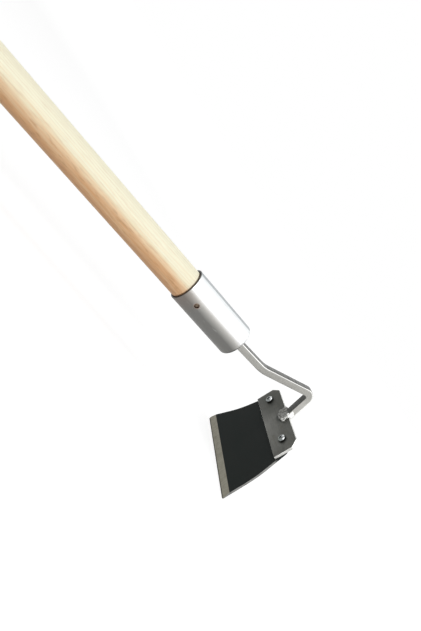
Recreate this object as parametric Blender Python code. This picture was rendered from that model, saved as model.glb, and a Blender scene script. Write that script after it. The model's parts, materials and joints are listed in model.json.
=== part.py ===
"""Garden hoe: round ash handle, steel ferrule, bent square-bar neck and a bolted blade.

All sizes are in metres. The tool frame has its origin on the closed end of the ferrule:
+X runs along the handle towards the head, +Z is the side that the neck rises to, and
the width of the blade runs along Y. The whole tool is then laid on the floor, where it
rests on its cutting edge and on the butt of its handle.
"""

import math

import bmesh
import bpy
from mathutils import Matrix, Vector

# Gaps
TOUCH = 0.0003

# Handle
HANDLE_LENGTH = 1.400
HANDLE_DIAMETER = 0.0318
BUTT_ROUNDING = 0.006
HANDLE_END_CHAMFER = 0.0015
HANDLE_SIT = 0.00025
HANDLE_SEGMENTS = 48

# Ferrule
FERRULE_LENGTH = 0.0778
FERRULE_WALL = 0.0015
FERRULE_END_WALL = 0.0020
FERRULE_CLEARANCE = 0.0006
FERRULE_CORNER = 0.0030
FERRULE_RIM_ROUNDING = 0.0003
FERRULE_SEGMENTS = 64
CORNER_STEPS = 6

# Nail through the side of the ferrule
NAIL_FROM_RIM = 0.0164
NAIL_ANGLE = math.radians(-7.0)
NAIL_HOLE_DIAMETER = 0.0050
NAIL_HEAD_DIAMETER = 0.0042
NAIL_HEAD_HEIGHT = 0.0011
NAIL_HEAD_RIM = 0.0005
NAIL_SHANK_DIAMETER = 0.0026
NAIL_LENGTH = 0.024
NAIL_POINT = 0.004
NAIL_SEGMENTS = 20
NAIL_DOME_STEPS = 4

# Neck, a square bar bent twice
BAR_SIDE = 0.0080
BAR_EDGE = 0.0006
BAR_INSIDE = 0.0050
NECK_RUN_1 = 0.0427
NECK_RUN_2 = 0.0626
NECK_RUN_3 = 0.0338
NECK_ANGLE_1 = math.radians(2.1)
NECK_ANGLE_2 = math.radians(20.5)
NECK_ANGLE_3 = math.radians(-80.2)
BEND_RADIUS_1 = 0.0360
BEND_RADIUS_2 = 0.0065
BEND_STEPS_1 = 8
BEND_STEPS_2 = 12

# Bracket plate at the end of the neck
PLATE_WIDTH = 0.1000
PLATE_DEPTH = 0.0275
PLATE_THICKNESS = 0.0030
PLATE_CHAMFER = 0.0070
PLATE_TILT = math.radians(12.8)
PLATE_FACE_ABOVE_BAR = 0.0026
NOTCH_DEPTH = 0.0060

# Blade
BLADE_THICKNESS = 0.0024
BLADE_PAST_PLATE = 0.0011
BLADE_BEHIND_SCREWS = 0.00425
BLADE_TANG_CHAMFER = 0.0060
BLADE_FREE_LENGTH = 0.0624
BLADE_BEND_START = 0.0114
BLADE_BEND_RADIUS = 0.1340
BLADE_BEND_ANGLE = math.radians(10.85)
BLADE_FLARE = math.radians(13.8)
BLADE_BEVEL = 0.0090
BLADE_EDGE_LAND = 0.0002
BLADE_CORNER = 0.0020
BLADE_STEPS = 12

# Screws, washers and lock nuts
SCREW_FROM_PLATE_END = 0.0160
SCREWS_OFF_CENTRE = 0.0020
SCREW_DIAMETER = 0.0040
SCREW_HEAD_DIAMETER = 0.0080
SCREW_HEAD_HEIGHT = 0.0031
SCREW_HEAD_RIM = 0.0012
SCREW_HEAD_TOP_DIAMETER = 0.0032
SCREW_TIP_CHAMFER = 0.0004
RECESS_SPAN = 0.0044
RECESS_SLOT = 0.0010
RECESS_DEPTH = 0.0020
SCREW_END_BEYOND_NUT = 0.0012
HOLE_CLEARANCE = 0.0003
WASHER_DIAMETER = 0.0090
WASHER_THICKNESS = 0.0008
NUT_ACROSS_FLATS = 0.0070
NUT_HEX_HEIGHT = 0.0034
NUT_COLLAR_HEIGHT = 0.0016
NUT_COLLAR_DIAMETER = 0.0066
NUT_INSERT_WALL = 0.0004
NUT_INSERT_HEIGHT = 0.0010
SCREW_SEGMENTS = 24
SCREW_DOME_STEPS = 6

# Welds
WELD_LEG = 0.0030
BEAD_RADIUS = 0.0035
BEAD_REACH = 0.0112
BEAD_BEFORE_PLATE = 0.0040
BEAD_SEGMENTS = 20
BEAD_RINGS = 10

# Sizes that follow from the ones above
HANDLE_RADIUS = HANDLE_DIAMETER / 2
FERRULE_BORE_RADIUS = HANDLE_RADIUS + FERRULE_CLEARANCE
FERRULE_RADIUS = FERRULE_BORE_RADIUS + FERRULE_WALL
NAIL_X = NAIL_FROM_RIM - FERRULE_LENGTH
HANDLE_TIP_X = -(FERRULE_END_WALL + BAR_INSIDE + WELD_LEG)
BUTT_X = HANDLE_TIP_X - HANDLE_LENGTH
BLADE_TOP = -(PLATE_THICKNESS + TOUCH)
BLADE_BACK = BLADE_TOP - BLADE_THICKNESS
SCREW_HOLE_RADIUS = SCREW_DIAMETER / 2 + HOLE_CLEARANCE
SCREW_U = PLATE_DEPTH / 2
BLADE_TANG_DEPTH = PLATE_DEPTH - SCREW_U + BLADE_BEHIND_SCREWS


def clear_scene():
    for obj in list(bpy.context.scene.objects):
        bpy.data.objects.remove(obj, do_unlink=True)


# Materials
def principled(name, colour, roughness, metallic):
    material = bpy.data.materials.new(name)
    material.use_nodes = True
    shader = material.node_tree.nodes["Principled BSDF"]
    shader.inputs["Base Color"].default_value = (*colour, 1.0)
    shader.inputs["Roughness"].default_value = roughness
    shader.inputs["Metallic"].default_value = metallic
    return material


# Mesh helpers
def circle_arc(centre, radius, start, end, steps):
    """Points on an arc in a plane, both ends included."""
    points = []
    for i in range(steps + 1):
        angle = start + (end - start) * i / steps
        points.append((centre[0] + radius * math.cos(angle), centre[1] + radius * math.sin(angle)))
    return points


def turned(profile, segments):
    """A solid turned about X from (x, radius) points that begin and end on the axis or close."""
    bm = bmesh.new()
    verts = [bm.verts.new((x, 0.0, radius)) for x, radius in profile]
    edges = [bm.edges.new((a, b)) for a, b in zip(verts, verts[1:])]
    if profile[0][1] > 0.0:
        edges.append(bm.edges.new((verts[-1], verts[0])))
    bmesh.ops.spin(bm, geom=verts + edges, cent=(0.0, 0.0, 0.0), axis=(1.0, 0.0, 0.0),
                   angle=2 * math.pi, steps=segments, use_merge=True)
    bmesh.ops.remove_doubles(bm, verts=bm.verts, dist=1e-6)
    bmesh.ops.recalc_face_normals(bm, faces=bm.faces)
    return bm


def dome_profile(low, high, outer, inner, steps):
    """Points (x, radius) of a quarter ellipse from (low, outer) to (high, inner)."""
    points = []
    for i in range(steps):
        angle = math.pi / 2 * i / steps
        points.append((low + (high - low) * math.sin(angle), inner + (outer - inner) * math.cos(angle)))
    return points + [(high, inner)]


def prism(outline, low, high):
    """A solid with the same (x, y) outline from z = low to z = high."""
    bm = bmesh.new()
    face = bm.faces.new([bm.verts.new((x, y, low)) for x, y in outline])
    extruded = bmesh.ops.extrude_face_region(bm, geom=[face])
    moved = [item for item in extruded["geom"] if isinstance(item, bmesh.types.BMVert)]
    bmesh.ops.translate(bm, verts=moved, vec=(0.0, 0.0, high - low))
    bmesh.ops.recalc_face_normals(bm, faces=bm.faces)
    return bm


def lofted(rings):
    """A solid skinned over closed rings that all have as many points."""
    bm = bmesh.new()
    loops = [[bm.verts.new(point) for point in ring] for ring in rings]
    count = len(loops[0])
    for a, b in zip(loops, loops[1:]):
        for i in range(count):
            j = (i + 1) % count
            bm.faces.new((a[i], a[j], b[j], b[i]))
    bm.faces.new(list(reversed(loops[0])))
    bm.faces.new(loops[-1])
    bmesh.ops.recalc_face_normals(bm, faces=bm.faces)
    return bm


def ellipsoid(centre, radii):
    bm = bmesh.new()
    bmesh.ops.create_uvsphere(bm, u_segments=BEAD_SEGMENTS, v_segments=BEAD_RINGS, radius=1.0)
    bmesh.ops.transform(bm, matrix=Matrix.Diagonal((*radii, 1.0)), verts=bm.verts)
    bmesh.ops.translate(bm, verts=bm.verts, vec=centre)
    return bm


def hexagon(across_flats):
    radius = across_flats / math.sqrt(3.0)
    return [(radius * math.cos(math.pi * i / 3), radius * math.sin(math.pi * i / 3)) for i in range(6)]


def cross(span, slot):
    """The outline of two slots that cross at right angles."""
    far = span / 2
    near = slot / 2
    arm = [(far, -near), (far, near), (near, near)]
    quarters = [(1.0, 0.0), (0.0, 1.0), (-1.0, 0.0), (0.0, -1.0)]
    return [(c * x - s * y, s * x + c * y) for c, s in quarters for x, y in arm]


# Object helpers
def add_object(name, bm, parent, material=None, smooth=None):
    mesh = bpy.data.meshes.new(name)
    bm.to_mesh(mesh)
    bm.free()
    if smooth is not None:
        mesh.shade_smooth()
        mesh.set_sharp_from_angle(angle=smooth)
    if material is not None:
        mesh.materials.append(material)
    obj = bpy.data.objects.new(name, mesh)
    bpy.context.scene.collection.objects.link(obj)
    obj.parent = parent
    return obj


def add_empty(name, parent=None):
    obj = bpy.data.objects.new(name, None)
    bpy.context.scene.collection.objects.link(obj)
    obj.parent = parent
    return obj


def add_cutter(name, bm, parent):
    cutter = add_object(name, bm, parent)
    cutter.hide_render = True
    cutter.display_type = "WIRE"
    return cutter


def combine(obj, cutter, operation="DIFFERENCE"):
    modifier = obj.modifiers.new(cutter.name, "BOOLEAN")
    modifier.operation = operation
    modifier.solver = "EXACT"
    modifier.object = cutter


# Neck centre line
def direction(angle):
    return Vector((math.cos(angle), 0.0, math.sin(angle)))


def neck_corners():
    """The corner points of the bar's centre line, from inside the ferrule to the plate's notch."""
    ferrule_face = Vector((0.0, 0.0, 0.0))
    start = ferrule_face - direction(NECK_ANGLE_1) * (FERRULE_END_WALL + BAR_INSIDE)
    bend_1 = ferrule_face + direction(NECK_ANGLE_1) * NECK_RUN_1
    bend_2 = bend_1 + direction(NECK_ANGLE_2) * NECK_RUN_2
    plate_edge = bend_2 + direction(NECK_ANGLE_3) * NECK_RUN_3
    end = plate_edge + direction(NECK_ANGLE_3) * (NOTCH_DEPTH / math.cos(PLATE_TILT))
    return start, bend_1, bend_2, plate_edge, end


def bend_stations(corner, angle_in, angle_out, radius, steps):
    """Centre points and directions round one bend."""
    turn = angle_out - angle_in
    side = math.copysign(1.0, turn)
    setback = radius * math.tan(abs(turn) / 2)
    begin = corner - direction(angle_in) * setback
    centre = begin + direction(angle_in + side * math.pi / 2) * radius
    stations = []
    for i in range(steps + 1):
        angle = angle_in + turn * i / steps
        point = centre - direction(angle + side * math.pi / 2) * radius
        stations.append((point, angle))
    return stations


def neck_stations():
    start, bend_1, bend_2, _, end = neck_corners()
    stations = [(start, NECK_ANGLE_1)]
    stations += bend_stations(bend_1, NECK_ANGLE_1, NECK_ANGLE_2, BEND_RADIUS_1, BEND_STEPS_1)
    stations += bend_stations(bend_2, NECK_ANGLE_2, NECK_ANGLE_3, BEND_RADIUS_2, BEND_STEPS_2)
    stations.append((end, NECK_ANGLE_3))
    return stations


def bar_section(side, edge):
    """A square with small rounded corners, as (across, width) points."""
    inner = side / 2 - edge
    points = []
    for quarter in range(4):
        start = quarter * math.pi / 2
        sign_a = 1.0 if quarter in (0, 3) else -1.0
        sign_b = 1.0 if quarter in (0, 1) else -1.0
        points += circle_arc((sign_a * inner, sign_b * inner), edge, start, start + math.pi / 2, 2)
    return points


def bar_along(stations, side, edge):
    rings = []
    for point, angle in stations:
        across = direction(angle + math.pi / 2)
        rings.append([point + across * a + Vector((0.0, b, 0.0)) for a, b in bar_section(side, edge)])
    return lofted(rings)


# Handle, ferrule and nail
def make_handle(parent, material):
    corner = circle_arc((BUTT_X + BUTT_ROUNDING, HANDLE_RADIUS - BUTT_ROUNDING), BUTT_ROUNDING,
                        math.pi, math.pi / 2, CORNER_STEPS)
    profile = [(BUTT_X, 0.0)] + corner
    profile += [(HANDLE_TIP_X - HANDLE_END_CHAMFER, HANDLE_RADIUS),
                (HANDLE_TIP_X, HANDLE_RADIUS - HANDLE_END_CHAMFER), (HANDLE_TIP_X, 0.0)]
    handle = add_object("handle", turned(profile, HANDLE_SEGMENTS), parent, material, math.radians(30))
    handle.location = (0.0, 0.0, -HANDLE_SIT)
    return handle


def make_ferrule(parent, material):
    outer_corner = circle_arc((-FERRULE_CORNER, FERRULE_RADIUS - FERRULE_CORNER), FERRULE_CORNER,
                              0.0, math.pi / 2, CORNER_STEPS)
    rim = -FERRULE_LENGTH
    bead = FERRULE_RIM_ROUNDING
    inner = max(FERRULE_CORNER - FERRULE_WALL, bead)
    inner_corner = circle_arc((-FERRULE_END_WALL - inner, FERRULE_BORE_RADIUS - inner), inner,
                              math.pi / 2, 0.0, CORNER_STEPS)
    profile = [(0.0, 0.0)] + outer_corner
    profile += [(rim + bead, FERRULE_RADIUS), (rim, FERRULE_RADIUS - bead),
                (rim, FERRULE_BORE_RADIUS + bead), (rim + bead, FERRULE_BORE_RADIUS)]
    profile += inner_corner + [(-FERRULE_END_WALL, 0.0)]
    return add_object("ferrule", turned(profile, FERRULE_SEGMENTS), parent, material, math.radians(30))


def nail_frame(parent):
    """An empty on the handle's axis whose +X points out of the nail hole."""
    frame = add_empty("nail_frame", parent)
    outward = Vector((0.0, -math.cos(NAIL_ANGLE), math.sin(NAIL_ANGLE)))
    along = Vector((1.0, 0.0, 0.0))
    frame.matrix_local = Matrix((outward, along, outward.cross(along))).transposed().to_4x4()
    frame.location = (NAIL_X, 0.0, 0.0)
    return frame


def make_nail(frame, material):
    seat = HANDLE_RADIUS + TOUCH
    head = NAIL_HEAD_DIAMETER / 2
    shank = NAIL_SHANK_DIAMETER / 2
    tip = seat - NAIL_LENGTH
    dome = dome_profile(seat + NAIL_HEAD_RIM, seat + NAIL_HEAD_HEIGHT, head, 0.0, NAIL_DOME_STEPS)
    profile = [(tip, 0.0), (tip + NAIL_POINT, shank), (seat, shank), (seat, head)] + dome
    return add_object("ferrule_nail", turned(profile, NAIL_SEGMENTS), frame, material, math.radians(40))


def cylinder_cutter(name, parent, radius, low, high, segments):
    """A round cutter along its parent's X axis."""
    profile = [(low, 0.0), (low, radius), (high, radius), (high, 0.0)]
    return add_cutter(name, turned(profile, segments), parent)


def drill_for_nail(handle, ferrule, frame):
    outside = 2 * FERRULE_RADIUS
    hole = cylinder_cutter("nail_hole", frame, NAIL_HOLE_DIAMETER / 2, FERRULE_BORE_RADIUS / 2, outside,
                           NAIL_SEGMENTS)
    pilot = cylinder_cutter("nail_pilot", frame, NAIL_SHANK_DIAMETER / 2 + TOUCH,
                            HANDLE_RADIUS - NAIL_LENGTH, outside, NAIL_SEGMENTS)
    combine(ferrule, hole)
    combine(handle, pilot)


# Neck and its weld inside the ferrule
def make_neck(parent, material):
    bm = bar_along(neck_stations(), BAR_SIDE, BAR_EDGE)
    return add_object("neck_bar", bm, parent, material, math.radians(35))


def straight_bar(start, end, angle):
    """A square bar that is one gap larger than the neck all round."""
    return bar_along([(start, angle), (end, angle)], BAR_SIDE + 2 * TOUCH, BAR_EDGE + TOUCH)


def make_ferrule_weld(parent, material):
    seat = -(FERRULE_END_WALL + TOUCH)
    outer = BAR_SIDE * math.sqrt(0.5) + WELD_LEG
    fillet = circle_arc((seat - WELD_LEG, outer), WELD_LEG, 0.0, -math.pi / 2, CORNER_STEPS)
    profile = [(seat, 0.0), (seat, outer)] + fillet[1:] + [(seat - WELD_LEG, 0.0)]
    return add_object("ferrule_weld", turned(profile, SCREW_SEGMENTS), parent, material, math.radians(50))


# Plate frame: origin on the rear edge of the visible face, +X to the cutting edge, +Z out of the face
def plate_frame(parent):
    frame = add_empty("plate_frame", parent)
    _, _, _, plate_edge, _ = neck_corners()
    along = direction(NECK_ANGLE_3 - PLATE_TILT)
    outward = direction(NECK_ANGLE_3 - PLATE_TILT - math.pi / 2)
    frame.matrix_local = Matrix((along, outward.cross(along), outward)).transposed().to_4x4()
    frame.location = plate_edge + outward * PLATE_FACE_ABOVE_BAR
    return frame


def make_plate(frame, material):
    half = PLATE_WIDTH / 2
    cut = PLATE_CHAMFER
    outline = [(0.0, half - cut), (0.0, cut - half), (cut, -half), (PLATE_DEPTH, -half),
               (PLATE_DEPTH, half), (cut, half)]
    return add_object("bracket_plate", prism(outline, -PLATE_THICKNESS, 0.0), frame, material)


def notch_cutter(frame):
    """The slot in the plate's rear edge that the end of the bar sits in."""
    depth = NOTCH_DEPTH + math.sin(PLATE_TILT) * BAR_SIDE / 2 + TOUCH
    half = BAR_SIDE / 2 + TOUCH
    outline = [(-depth, -half), (depth, -half), (depth, half), (-depth, half)]
    return add_cutter("notch", prism(outline, -2 * PLATE_THICKNESS, PLATE_THICKNESS), frame)


# Blade
def blade_half_width(s):
    """Half the blade's width at a distance s past the plate's front edge."""
    half = PLATE_WIDTH / 2 + BLADE_PAST_PLATE + s * math.tan(BLADE_FLARE)
    half -= max(BLADE_TANG_CHAMFER - BLADE_TANG_DEPTH - s, 0.0)
    past = s - (BLADE_FREE_LENGTH - BLADE_CORNER)
    if past > 0.0:
        half -= BLADE_CORNER - math.sqrt(max(BLADE_CORNER ** 2 - past ** 2, 0.0))
    return half


def blade_point(s, depth):
    """A point (x, z) of the plate frame: flat, then an arc, then flat again, at a depth below the face."""
    arc = BLADE_BEND_RADIUS * BLADE_BEND_ANGLE
    on_arc = min(max(s - BLADE_BEND_START, 0.0), arc)
    angle = on_arc / BLADE_BEND_RADIUS
    before = min(s, BLADE_BEND_START)
    after = max(s - BLADE_BEND_START - arc, 0.0)
    radius = BLADE_BEND_RADIUS + depth
    x = PLATE_DEPTH + before + radius * math.sin(angle) + after * math.cos(angle)
    z = BLADE_TOP + BLADE_BEND_RADIUS - radius * math.cos(angle) + after * math.sin(angle)
    return x, z


def blade_stations():
    bevel_start = BLADE_FREE_LENGTH - BLADE_BEVEL
    bend_end = BLADE_BEND_START + BLADE_BEND_RADIUS * BLADE_BEND_ANGLE
    stations = [-BLADE_TANG_DEPTH, BLADE_TANG_CHAMFER - BLADE_TANG_DEPTH, 0.0, BLADE_BEND_START / 2]
    stations += [BLADE_BEND_START + (bend_end - BLADE_BEND_START) * i / BLADE_STEPS
                 for i in range(BLADE_STEPS + 1)]
    stations.append(bevel_start)
    corner_start = BLADE_FREE_LENGTH - BLADE_CORNER
    quarter = math.pi / 2
    stations += [corner_start + BLADE_CORNER * math.sin(quarter * i / CORNER_STEPS)
                 for i in range(CORNER_STEPS + 1)]
    return stations


def make_blade(frame, material):
    bevel_start = BLADE_FREE_LENGTH - BLADE_BEVEL
    bevel_drop = BLADE_THICKNESS - BLADE_EDGE_LAND
    rings = []
    for s in blade_stations():
        ground = bevel_drop * max(s - bevel_start, 0.0) / BLADE_BEVEL
        half = blade_half_width(s)
        top_x, top_z = blade_point(s, ground)
        back_x, back_z = blade_point(s, BLADE_THICKNESS)
        rings.append([(top_x, half, top_z), (top_x, -half, top_z), (back_x, -half, back_z),
                      (back_x, half, back_z)])
    return add_object("blade", lofted(rings), frame, material, math.radians(6))


# Weld between the bar and the plate
def make_bracket_weld(frame, root, material):
    half = BAR_SIDE / 2
    length = (BEAD_REACH + BEAD_BEFORE_PLATE) / 2
    middle = (BEAD_REACH - BEAD_BEFORE_PLATE) / 2
    lumps = [((middle, half + BEAD_RADIUS / 2, 0.0), (length, BEAD_RADIUS, BEAD_RADIUS)),
             ((middle, -half - BEAD_RADIUS / 2, 0.0), (length, BEAD_RADIUS, BEAD_RADIUS)),
             ((BEAD_REACH - BEAD_RADIUS, 0.0, 0.0), (BEAD_RADIUS, half + BEAD_RADIUS, BEAD_RADIUS))]
    bm = ellipsoid((middle, 0.0, 0.0), (length, half + BEAD_RADIUS / 2, BEAD_RADIUS))
    weld = add_object("bracket_weld", bm, frame, material, math.radians(60))
    for number, (centre, radii) in enumerate(lumps):
        combine(weld, add_cutter(f"weld_lump_{number}", ellipsoid(centre, radii), frame), "UNION")
    reach = 2 * BEAD_REACH
    below = [(-reach, -reach), (reach, -reach), (reach, reach), (-reach, reach)]
    combine(weld, add_cutter("weld_base", prism(below, -reach, TOUCH), frame))
    _, _, _, plate_edge, end = neck_corners()
    last = direction(NECK_ANGLE_3)
    room = straight_bar(plate_edge - last * reach, end + last * TOUCH, NECK_ANGLE_3)
    combine(weld, add_cutter("weld_bar_room", room, root))
    return weld


# Screws, washers, nuts and the nylon rings in them; each turned about the screw's own +X
def screw_frame(name, parent, side):
    frame = add_empty(name, parent)
    frame.matrix_local = Matrix.Rotation(-math.pi / 2, 4, "Y")
    from_middle = PLATE_WIDTH / 2 - SCREW_FROM_PLATE_END
    frame.location = (SCREW_U, side * from_middle - SCREWS_OFF_CENTRE, 0.0)
    return frame


def nut_seat():
    return BLADE_BACK - 2 * TOUCH - WASHER_THICKNESS


def screw_mesh():
    head = SCREW_HEAD_DIAMETER / 2
    shank = SCREW_DIAMETER / 2
    top = TOUCH + SCREW_HEAD_HEIGHT
    dome = dome_profile(TOUCH + SCREW_HEAD_RIM, top, head, SCREW_HEAD_TOP_DIAMETER / 2, SCREW_DOME_STEPS)
    tip = nut_seat() - NUT_HEX_HEIGHT - NUT_COLLAR_HEIGHT - SCREW_END_BEYOND_NUT
    profile = [(tip, 0.0), (tip, shank - SCREW_TIP_CHAMFER), (tip + SCREW_TIP_CHAMFER, shank),
               (TOUCH, shank), (TOUCH, head)]
    return turned(profile + dome + [(top, 0.0)], SCREW_SEGMENTS)


def upright(bm):
    """Turns a solid made along Z so that it lies along X."""
    bmesh.ops.rotate(bm, verts=bm.verts, cent=(0.0, 0.0, 0.0), matrix=Matrix.Rotation(math.pi / 2, 3, "Y"))
    return bm


def make_screw(name, frame, material):
    screw = add_object(name, screw_mesh(), frame, material, math.radians(35))
    top = TOUCH + SCREW_HEAD_HEIGHT
    recess = upright(prism(cross(RECESS_SPAN, RECESS_SLOT), top - RECESS_DEPTH, top + RECESS_DEPTH))
    combine(screw, add_cutter(name + "_recess", recess, frame))
    return screw


def make_washer(name, frame, material):
    top = BLADE_BACK - TOUCH
    bottom = top - WASHER_THICKNESS
    outer = WASHER_DIAMETER / 2
    profile = [(bottom, SCREW_HOLE_RADIUS), (bottom, outer), (top, outer), (top, SCREW_HOLE_RADIUS)]
    return add_object(name, turned(profile, SCREW_SEGMENTS), frame, material, math.radians(35))


def make_nut(name, frame, material):
    seat = nut_seat()
    hex_end = seat - NUT_HEX_HEIGHT
    collar_end = hex_end - NUT_COLLAR_HEIGHT
    collar = NUT_COLLAR_DIAMETER / 2
    recess = SCREW_HOLE_RADIUS + NUT_INSERT_WALL + TOUCH
    nut = add_object(name, upright(prism(hexagon(NUT_ACROSS_FLATS), hex_end, seat)), frame, material)
    ring = [(collar_end, 0.0), (collar_end, collar), (hex_end + NUT_HEX_HEIGHT / 2, collar),
            (hex_end + NUT_HEX_HEIGHT / 2, 0.0)]
    combine(nut, add_cutter(name + "_collar", turned(ring, SCREW_SEGMENTS), frame), "UNION")
    combine(nut, cylinder_cutter(name + "_bore", frame, SCREW_HOLE_RADIUS, collar_end - TOUCH,
                                 seat + TOUCH, SCREW_SEGMENTS))
    combine(nut, cylinder_cutter(name + "_recess", frame, recess, collar_end - TOUCH,
                                 collar_end + NUT_INSERT_HEIGHT + TOUCH, SCREW_SEGMENTS))
    return nut


def make_insert(name, frame, material):
    low = nut_seat() - NUT_HEX_HEIGHT - NUT_COLLAR_HEIGHT
    high = low + NUT_INSERT_HEIGHT
    outer = SCREW_HOLE_RADIUS + NUT_INSERT_WALL
    profile = [(low, SCREW_HOLE_RADIUS), (low, outer), (high, outer), (high, SCREW_HOLE_RADIUS)]
    return add_object(name, turned(profile, SCREW_SEGMENTS), frame, material, math.radians(35))


# Rest on the floor
def rest_pitch(frame):
    """The angle that the handle rises at when the cutting edge and the butt lie on the floor."""
    bpy.context.view_layer.update()
    edge_x, edge_z = blade_point(BLADE_FREE_LENGTH, BLADE_THICKNESS)
    edge = frame.matrix_local @ Vector((edge_x, 0.0, edge_z))
    butt = Vector((BUTT_X + BUTT_ROUNDING, 0.0, -HANDLE_SIT - HANDLE_RADIUS + BUTT_ROUNDING))
    span = edge - butt
    return math.atan2(-span.z, span.x) - math.asin(BUTT_ROUNDING / span.length)


def lay_on_floor(root, pieces):
    """Puts the middle of the tool's length over the origin and its lowest point on the floor."""
    bpy.context.view_layer.update()
    graph = bpy.context.evaluated_depsgraph_get()
    points = []
    for piece in pieces:
        shape = piece.evaluated_get(graph)
        points += [shape.matrix_world @ vert.co for vert in shape.data.vertices]
    low_x = min(point.x for point in points)
    high_x = max(point.x for point in points)
    root.location = (-(low_x + high_x) / 2, 0.0, -min(point.z for point in points))


def build():
    clear_scene()
    ash = principled("ash_wood", (0.80, 0.58, 0.38), 0.55, 0.0)
    steel = principled("satin_steel", (0.56, 0.56, 0.54), 0.38, 1.0)
    bar_steel = principled("bar_steel", (0.50, 0.49, 0.46), 0.42, 1.0)
    plate_steel = principled("plate_steel", (0.30, 0.30, 0.28), 0.45, 1.0)
    weld_steel = principled("weld_steel", (0.36, 0.35, 0.33), 0.40, 1.0)
    blade_steel = principled("blade_steel", (0.022, 0.025, 0.024), 0.50, 0.6)
    bright = principled("zinc_fastener", (0.72, 0.74, 0.75), 0.25, 1.0)
    nail_steel = principled("nail_steel", (0.34, 0.27, 0.22), 0.40, 1.0)
    nylon = principled("nylon", (0.75, 0.76, 0.74), 0.50, 0.0)

    root = add_empty("hoe")
    handle = make_handle(root, ash)
    ferrule = make_ferrule(root, steel)
    nail_place = nail_frame(root)
    nail = make_nail(nail_place, nail_steel)
    drill_for_nail(handle, ferrule, nail_place)

    neck = make_neck(root, bar_steel)
    inside = direction(NECK_ANGLE_1) * (FERRULE_END_WALL + BAR_INSIDE + WELD_LEG)
    neck_room = add_cutter("neck_room", straight_bar(-inside, inside, NECK_ANGLE_1), root)
    ferrule_weld = make_ferrule_weld(root, weld_steel)
    combine(ferrule, neck_room)
    combine(ferrule_weld, neck_room)

    head = plate_frame(root)
    plate = make_plate(head, plate_steel)
    combine(plate, notch_cutter(head))
    blade = make_blade(head, blade_steel)
    bracket_weld = make_bracket_weld(head, root, weld_steel)
    pieces = [handle, ferrule, nail, neck, ferrule_weld, plate, blade, bracket_weld]

    for side, label in ((1.0, "near"), (-1.0, "far")):
        place = screw_frame("screw_frame_" + label, head, side)
        hole = cylinder_cutter("screw_hole_" + label, place, SCREW_HOLE_RADIUS, 2 * BLADE_BACK,
                               PLATE_THICKNESS, SCREW_SEGMENTS)
        combine(plate, hole)
        combine(blade, hole)
        pieces.append(make_screw("blade_screw_" + label, place, bright))
        pieces.append(make_washer("washer_" + label, place, bright))
        pieces.append(make_nut("lock_nut_" + label, place, bright))
        pieces.append(make_insert("nut_insert_" + label, place, nylon))

    root.rotation_euler = (0.0, -rest_pitch(head), 0.0)
    lay_on_floor(root, pieces)


build()
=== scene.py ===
import json
import math

import bmesh
import bpy
from mathutils import Matrix, Vector, noise


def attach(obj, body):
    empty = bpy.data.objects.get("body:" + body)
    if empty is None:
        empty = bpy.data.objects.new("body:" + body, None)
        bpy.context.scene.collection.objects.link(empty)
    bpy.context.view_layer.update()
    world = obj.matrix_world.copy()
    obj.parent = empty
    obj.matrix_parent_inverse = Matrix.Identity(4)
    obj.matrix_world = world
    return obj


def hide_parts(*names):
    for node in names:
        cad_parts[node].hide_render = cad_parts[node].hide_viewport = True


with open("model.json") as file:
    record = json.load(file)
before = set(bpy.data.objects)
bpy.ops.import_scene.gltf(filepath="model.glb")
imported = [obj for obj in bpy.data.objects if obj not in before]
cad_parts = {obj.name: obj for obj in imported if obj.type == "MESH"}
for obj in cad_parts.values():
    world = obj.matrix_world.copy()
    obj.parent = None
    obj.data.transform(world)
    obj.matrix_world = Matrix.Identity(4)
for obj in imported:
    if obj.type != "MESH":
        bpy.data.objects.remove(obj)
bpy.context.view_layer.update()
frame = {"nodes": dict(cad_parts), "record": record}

# Sizes repeated from the part's source
HANDLE_DIAMETER = 0.0318
HANDLE_TIP_X = -0.010
HANDLE_LENGTH = 1.400
HANDLE_SIT = 0.00025
FERRULE_LENGTH = 0.0778
FERRULE_WALL = 0.0015
FERRULE_END_WALL = 0.0020
FERRULE_CLEARANCE = 0.0006
FERRULE_CORNER = 0.0030
FERRULE_RIM_ROUNDING = 0.0003
NAIL_FROM_RIM = 0.0164
NAIL_ANGLE = math.radians(-7.0)
NAIL_HOLE_DIAMETER = 0.0050
NAIL_HEAD_DIAMETER = 0.0042
NAIL_HEAD_HEIGHT = 0.0011
NAIL_HEAD_RIM = 0.0005
NAIL_SHANK_DIAMETER = 0.0026
NAIL_LENGTH = 0.024
NAIL_POINT = 0.004
BAR_SIDE = 0.0080
BAR_EDGE = 0.0004
BAR_INSIDE = 0.0050
NECK_RUN_1 = 0.0427
NECK_RUN_2 = 0.0626
NECK_RUN_3 = 0.0338
NECK_ANGLE_1 = math.radians(2.1)
NECK_ANGLE_2 = math.radians(20.5)
NECK_ANGLE_3 = math.radians(-80.2)
BEND_RADIUS_1 = 0.0360
BEND_RADIUS_2 = 0.0065
PLATE_WIDTH = 0.1000
PLATE_DEPTH = 0.0275
PLATE_THICKNESS = 0.0030
PLATE_CHAMFER = 0.0070
PLATE_TILT = math.radians(12.8)
PLATE_FACE_ABOVE_BAR = 0.0026
NOTCH_DEPTH = 0.0060
BLADE_THICKNESS = 0.0024
BLADE_PAST_PLATE = 0.0011
BLADE_BEHIND_SCREWS = 0.00425
BLADE_TANG_CHAMFER = 0.0060
BLADE_FREE_LENGTH = 0.0624
BLADE_BEND_START = 0.0114
BLADE_BEND_RADIUS = 0.1340
BLADE_BEND_ANGLE = math.radians(10.85)
BLADE_FLARE = math.radians(13.8)
BLADE_BEVEL = 0.0090
BLADE_EDGE_LAND = 0.0002
BLADE_CORNER = 0.0020
SCREW_FROM_PLATE_END = 0.0160
SCREWS_OFF_CENTRE = 0.0020
SCREW_RADIUS = 0.0020
SCREW_HEAD_RADIUS = 0.0040
SCREW_HEAD_HEIGHT = 0.0031
SCREW_HEAD_RIM = 0.0012
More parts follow.
